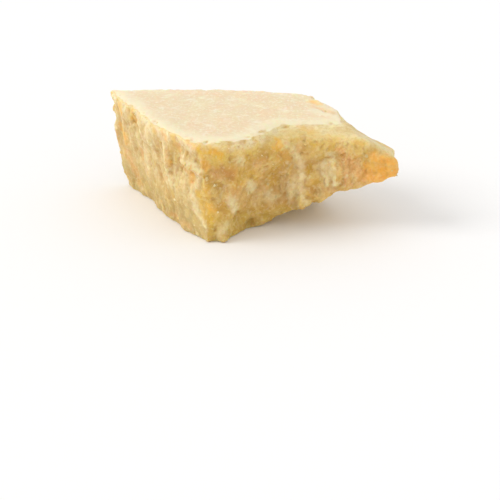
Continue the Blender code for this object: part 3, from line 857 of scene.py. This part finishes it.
def between(tree, value, low, high):
    """0 below low, 1 above high, with a smooth rise."""
    inputs = {"Value": value, "From Min": low, "From Max": high}
    made = node(tree, "ShaderNodeMapRange", inputs, interpolation_type="SMOOTHSTEP")
    return made.outputs["Result"]


def attribute(tree, name):
    return node(tree, "ShaderNodeAttribute", attribute_name=name).outputs["Fac"]


def layered(tree, base, layers):
    """A base colour under layers, each given as a mask, its strength and its colour."""
    colour = shade(base)
    for mask, strength, layer in layers:
        colour = mix(tree, product(tree, mask, strength), colour, shade(layer))
    return colour


def group(name, values, output):
    """A node group that takes a place and named values, with its input and output nodes."""
    tree = bpy.data.node_groups.new(name, "ShaderNodeTree")
    tree.interface.new_socket("Place", in_out="INPUT", socket_type="NodeSocketVector")
    for label in values:
        tree.interface.new_socket(label, in_out="INPUT", socket_type="NodeSocketFloat")
    tree.interface.new_socket(output, in_out="OUTPUT", socket_type="NodeSocketFloat")
    return tree, tree.nodes.new("NodeGroupInput").outputs, tree.nodes.new("NodeGroupOutput").inputs


def use(tree, made_group, inputs):
    """Places a node group in a material."""
    return node(tree, "ShaderNodeGroup", inputs, node_tree=made_group).outputs[0]


def patches_group():
    """Soft uneven patches: a mask from 0 to 1."""
    tree, given, out = group("patches", ("Scale", "Low", "High"), "Mask")
    inputs = {"Vector": given["Place"], "Scale": given["Scale"]}
    inputs.update({"Detail": 4.0, "Roughness": 0.6, "Distortion": 0.4})
    cloud = node(tree, "ShaderNodeTexNoise", inputs)
    tree.links.new(between(tree, cloud.outputs[0], given["Low"], given["High"]), out["Mask"])
    return tree


def patchy(tree, patches, place, pattern):
    """A mask of soft patches in one of the patterns named above."""
    scale, low, high = pattern
    return use(tree, patches, {"Place": place, "Scale": scale, "Low": low, "High": high})


def specks_group():
    """Small soft uneven specks, of which only some of the places have one: a mask."""
    tree, given, out = group("specks", ("Scale", "Size", "Share"), "Mask")
    inputs = {"Vector": given["Place"], "Scale": given["Scale"]}
    cloud = node(tree, "ShaderNodeTexNoise", {**inputs, "Detail": 2.0})
    bend = {0: cloud.outputs["Color"], "Scale": 0.7 * MM}
    bend = node(tree, "ShaderNodeVectorMath", bend, operation="SCALE").outputs[0]
    bent = node(tree, "ShaderNodeVectorMath", {0: given["Place"], 1: bend})
    inputs["Vector"] = bent.outputs[0]
    cells = node(tree, "ShaderNodeTexVoronoi", inputs, feature="F1")
    core = product(tree, given["Size"], 0.45)
    near = inverse(tree, between(tree, cells.outputs["Distance"], core, given["Size"]))
    pick = node(tree, "ShaderNodeSeparateColor", {0: cells.outputs["Color"]}).outputs[0]
    chosen = maths(tree, "LESS_THAN", pick, given["Share"])
    tree.links.new(product(tree, near, chosen), out["Mask"])
    return tree


def dotted(tree, specks, place, pattern):
    """A mask of specks in one of the patterns named above."""
    scale, size, share = pattern
    return use(tree, specks, {"Place": place, "Scale": scale, "Size": size, "Share": share})


def grit_group():
    """Fine grit, as the height for a bump."""
    tree, given, out = group("grit", ("Scale",), "Height")
    inputs = {"Vector": given["Place"], "Scale": given["Scale"]}
    cloud = node(tree, "ShaderNodeTexNoise", {**inputs, "Detail": 5.0, "Roughness": 0.65})
    cells = node(tree, "ShaderNodeTexVoronoi", inputs, feature="F1")
    round_grit = inverse(tree, cells.outputs["Distance"])
    sharp_grit = product(tree, cloud.outputs[0], 1.4)
    tree.links.new(maths(tree, "ADD", round_grit, sharp_grit), out["Height"])
    return tree


def gritty(tree, shader, grit, place, pattern, share=1.0):
    """Gives a material fine grit as a bump, of which a share shows."""
    scale, strength, distance = pattern
    height = product(tree, use(tree, grit, {"Place": place, "Scale": scale}), share)
    inputs = {"Height": height, "Strength": strength, "Distance": distance}
    bump = node(tree, "ShaderNodeBump", inputs)
    tree.links.new(bump.outputs[0], shader.inputs["Normal"])


def new_material(name):
    material = bpy.data.materials.new(name)
    material.use_nodes = True
    return material, material.node_tree, material.node_tree.nodes["Principled BSDF"]


def object_place(tree):
    return node(tree, "ShaderNodeTexCoord").outputs["Object"]


def soften(shader):
    """Lets light into the cheese. Red goes deepest, which warms thin edges."""
    shader.inputs["Subsurface Weight"].default_value = 0.7
    shader.inputs["Subsurface Radius"].default_value = (1.0, 0.52, 0.2)
    shader.inputs["Subsurface Scale"].default_value = 2.5 * MM
    shader.inputs["Specular IOR Level"].default_value = 0.35


# Materials


def old_face_colour(tree, place, patches, specks):
    """Peach and cream in soft clouds with whiter flecks, and a pale rim in front and far left."""
    fray = patchy(tree, patches, place, RIM_FRAY)
    rim = maths(tree, "ADD", attribute(tree, "rim"), product(tree, fray, 0.55))
    rim = between(tree, rim, 0.3, 1.4)
    across = node(tree, "ShaderNodeSeparateXYZ", {0: place})
    front = between(tree, across.outputs[1], *FRONT_BAND)
    far_left = between(tree, across.outputs[0], *FAR_LEFT_BAND)
    border = product(tree, maths(tree, "MAXIMUM", front, far_left), 0.6)
    border = maths(tree, "ADD", 0.3, border)
    layers = (
        (patchy(tree, patches, place, TOP_CLOUDS), 1.0, TOP_CREAM),
        (patchy(tree, patches, place, TOP_DAPPLE), 0.8, TOP_CREAM),
        (patchy(tree, patches, place, TOP_BLUSH), 0.8, TOP_PEACH),
        (patchy(tree, patches, place, TOP_FLECKS), 0.7, TOP_WHITE),
        (patchy(tree, patches, place, TOP_GRAIN), 0.6, TOP_WHITE),
        (dotted(tree, specks, place, TOP_DOTS), 0.12, TOP_WHITE),
        (product(tree, rim, border), 1.0, RIM_PALE),
        (attribute(tree, "amber"), 1.0, AMBER_PALE),
        # The top's crack gets a rosy painted shade.
        (attribute(tree, "brown"), 1.0, ROSY),
    )
    return layered(tree, TOP_PEACH, layers)


def fracture_colour(tree, place, patches, specks):
    """Ochre, paler on what stands out and deeper in hollows, with patches of each kind."""
    left = attribute(tree, "left")
    amber = attribute(tree, "amber")
    milky = attribute(tree, "milky")
    height = node(tree, "ShaderNodeSeparateXYZ", {0: place}).outputs[2]
    upper = between(tree, height, *UPPER_BAND)
    # Rises towards the foot, where shade is painted.
    lower = between(tree, height, *SHADED_FOOT_HEIGHTS)
    ribs = product(tree, between(tree, height, *RIB_BAND), left)
    # Patterns run up and down on the left face. Sockets 4 and 5 are a vector mix's.
    tall = node(tree, "ShaderNodeMapping", {"Vector": place, "Scale": (1.0, 1.0, 0.3)}).outputs[0]
    flaky = node(tree, "ShaderNodeMix", {0: left, 4: place, 5: tall}, data_type="VECTOR").outputs[1]
    # Level ledges, with a frayed border.
    fray = product(tree, patchy(tree, patches, place, LEVEL_FRAY), 0.7)
    fray = maths(tree, "SUBTRACT", fray, 0.35)
    level = maths(tree, "ADD", attribute(tree, "level"), fray)
    level = between(tree, level, 0.0, 1.0)
    # Painted shade in hollows and painted highlight on crests. Worn edges get no painted highlight.
    fine = attribute(tree, "fine_depth")
    broad = attribute(tree, "broad_depth")
    unworn = inverse(tree, attribute(tree, "worn_edge"))
    fine_crest = between(tree, product(tree, fine, -1.0), 0.01, 0.12)
    fine_crest = product(tree, fine_crest, unworn)
    broad_crest = between(tree, product(tree, broad, -1.0), 0.08, 0.6)
    broad_crest = product(tree, broad_crest, patchy(tree, patches, place, CREST_HIGHLIGHT_PATCHES), unworn)
    # The pale, dry left face and parts of the back, and the pale band under the old face.
    dry = product(tree, patchy(tree, patches, place, BACK_DRY), attribute(tree, "back"))
    dry = maths(tree, "MAXIMUM", dry, left)
    brow = product(tree, attribute(tree, "brow"), inverse(tree, level, 0.45))
    brow = product(tree, brow, patchy(tree, patches, flaky, BROW_FLAKES))
    tone = attribute(tree, "tone")
    grain_tone = attribute(tree, "grain_tone")
    layers = (
        (patchy(tree, patches, place, OCHRE_CLOUDS), 0.6, OCHRE_DEEP),
        (patchy(tree, patches, flaky, KHAKI_CLOUDS), 0.7, KHAKI),
        (between(tree, tone, 0.55, 0.8), 0.5, OCHRE_PALE),
        (upper, 0.75, GOLDEN_PALE),
        (attribute(tree, "khaki"), 1.0, KHAKI),
        (dry, 0.75, LEFT_CREAM),
        (product(tree, patchy(tree, patches, tall, TAN_RIBS), ribs), 0.45, RIB_TAN),
        (product(tree, patchy(tree, patches, tall, MILK_RIBS), ribs), 0.45, MILK),
        (level, 0.9, SHOULDER_CREAM),
        (patchy(tree, patches, flaky, GOLDEN_CLOUDS), 0.5, GOLDEN),
        (patchy(tree, patches, flaky, ROSY_CLOUDS), 0.4, ROSY),
        (between(tree, tone, 0.45, 0.2), 0.35, OCHRE_DEEP),
        (brow, 0.95, RIM_PALE),
        # Painted highlight on broad crests, and painted shade in broad hollows.
        (broad_crest, 0.36, OCHRE_PALE),
        (between(tree, broad, 0.05, 0.5), 0.65, OCHRE_DEEP),
        # Painted shade towards the foot, more of it on the left face.
        (lower, 0.5, FOOT_SHADE_COLOUR),
        (product(tree, lower, left), 0.7, LEFT_FOOT_SHADE_COLOUR),
        (attribute(tree, "golden"), 1.0, GOLDEN),
        # Amber, which on the thin tip is partly painted glow of light through the cheese.
        (amber, 1.0, AMBER),
        (attribute(tree, "rosy"), 1.0, ROSY),
        (milky, 1.0, MILK),
        (between(tree, grain_tone, 0.55, 0.85), 0.30, OCHRE_PALE),
        (between(tree, grain_tone, 0.45, 0.15), 0.20, OCHRE_DEEP),
        # Brown: painted shade in hollows, under the chip and at the foot, and a few dark spots
        # elsewhere.
        (attribute(tree, "brown"), 1.0, BROWN),
        # Painted shade in fine crevices, and painted highlight on fine crests.
        (between(tree, fine, 0.01, 0.12), 0.30, OCHRE_DEEP),
        (fine_crest, 0.11, MILK),
        (patchy(tree, patches, place, DEEP_GRAIN), 0.28, OCHRE_DEEP),
        (patchy(tree, patches, place, PALE_GRAIN), 0.28, MILK),
        (dotted(tree, specks, place, BROKEN_DOTS), 0.5, CRYSTAL_WHITE),
        (milky, 0.4, MILK),
        # Amber once more over the grain, on the thin tip partly painted glow.
        (amber, 0.35, AMBER),
        (product(tree, amber, patchy(tree, patches, place, AMBER_CLEAR)), 0.75, AMBER_PALE),
    )
    return layered(tree, OCHRE, layers)


def cheese_material(patches, grit, specks):
    material, tree, shader = new_material("aged_cheese")
    place = object_place(tree)
    top = between(tree, attribute(tree, "old_face"), 0.25, 0.85)
    broken = fracture_colour(tree, place, patches, specks)
    colour = mix(tree, top, broken, old_face_colour(tree, place, patches, specks))
    tree.links.new(colour, shader.inputs["Base Color"])
    damp = patchy(tree, patches, place, DAMP_PATCHES)
    roughness = {"Value": damp, "To Min": DRY_ROUGHNESS, "To Max": DAMP_ROUGHNESS}
    rough = node(tree, "ShaderNodeMapRange", roughness)
    tree.links.new(rough.outputs[0], shader.inputs["Roughness"])
    gritty(tree, shader, grit, place, CHEESE_GRIT, inverse(tree, top, 0.45))
    soften(shader)
    return material


def crumb_material(patches, grit):
    material, tree, shader = new_material("cheese_crumb")
    place = object_place(tree)
    pale = patchy(tree, patches, place, CRUMB_CLOUDS)
    colour = mix(tree, pale, shade(OCHRE_PALE), shade(LEFT_CREAM))
    tree.links.new(colour, shader.inputs["Base Color"])
    shader.inputs["Roughness"].default_value = 0.6
    shader.inputs["Specular IOR Level"].default_value = 0.3
    gritty(tree, shader, grit, place, CRUMB_GRIT)
    return material


def crystal_material(patches, grit):
    material, tree, shader = new_material("white_crystal")
    place = object_place(tree)
    chalk = patchy(tree, patches, place, CRYSTAL_CHALK)
    colour = mix(tree, chalk, shade(MILK), shade(CRYSTAL_WHITE))
    tree.links.new(colour, shader.inputs["Base Color"])
    shader.inputs["Roughness"].default_value = 0.4
    gritty(tree, shader, grit, place, CRYSTAL_GRIT)
    return material


# The room


def floor_and_light():
    bpy.ops.object.select_all(action="DESELECT")
    bpy.ops.mesh.primitive_plane_add(size=6.0, location=(0.0, 0.0, cad_low.z))
    ground = bpy.context.object
    ground.name = "floor"
    material, _, shader = new_material("floor_white")
    shader.inputs["Base Color"].default_value = shade(FLOOR_WHITE)
    shader.inputs["Roughness"].default_value = 0.9
    shader.inputs["Specular IOR Level"].default_value = 0.1
    ground.data.materials.append(material)
    world = bpy.data.worlds.new("studio")
    bpy.context.scene.world = world
    world.use_nodes = True
    sky = world.node_tree.nodes["Background"]
    sky.inputs["Color"].default_value = (1.0, 1.0, 1.0, 1.0)
    sky.inputs["Strength"].default_value = WORLD_LIGHT
    lamp = bpy.data.objects.new("key_light", bpy.data.lights.new("key_light", "SUN"))
    lamp.data.energy = KEY_LIGHT
    lamp.data.angle = KEY_SPREAD
    lamp.rotation_euler = KEY_FROM.to_track_quat("Z", "Y").to_euler()
    bpy.context.scene.collection.objects.link(lamp)


def camera():
    """Looks at the chunk so that it falls where the photograph has it."""
    back = Vector((0.0, -math.cos(CAMERA_DOWN), math.sin(CAMERA_DOWN)))
    data = bpy.data.cameras.new("camera")
    data.lens = CAMERA_LENS
    data.sensor_width = CAMERA_SENSOR
    made = bpy.data.objects.new("camera", data)
    made.location = FRONT_CORNER + CAMERA_AIM + back * CAMERA_AWAY
    made.rotation_euler = back.to_track_quat("Z", "Y").to_euler()
    bpy.context.scene.collection.objects.link(made)
    bpy.context.scene.camera = made
    bpy.context.scene.view_settings.view_transform = "Standard"


def dress(piece, material):
    """Gives a finished piece its material, and makes it part of the chunk."""
    piece.data.materials.clear()
    piece.data.materials.append(material)
    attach(piece, "root")


def main():
    noise.seed_set(SEED)
    draw = random.Random(SEED)
    patches = patches_group()
    grit = grit_group()
    specks = specks_group()
    skin = chunk_skin()
    select_only(skin)
    bpy.ops.object.shade_smooth()
    crumb_models = [lump("crumb_model", CRUMB_RADIUS, 2, 0.5, seed) for seed in CRUMB_SEEDS]
    crumbs = scatter("clinging_crumbs", crumb_models, crumb_places(skin, draw))
    crystal_models = [lump("crystal_model", CRYSTAL_RADIUS, 1, 0.35, s) for s in CRYSTAL_SEEDS]
    crystals = scatter("white_crystals", crystal_models, crystal_places(skin, draw))
    dress(skin, cheese_material(patches, grit, specks))
    dress(crumbs, crumb_material(patches, grit))
    dress(crystals, crystal_material(patches, grit))
    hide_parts(NODE)
    floor_and_light()
    camera()


main()
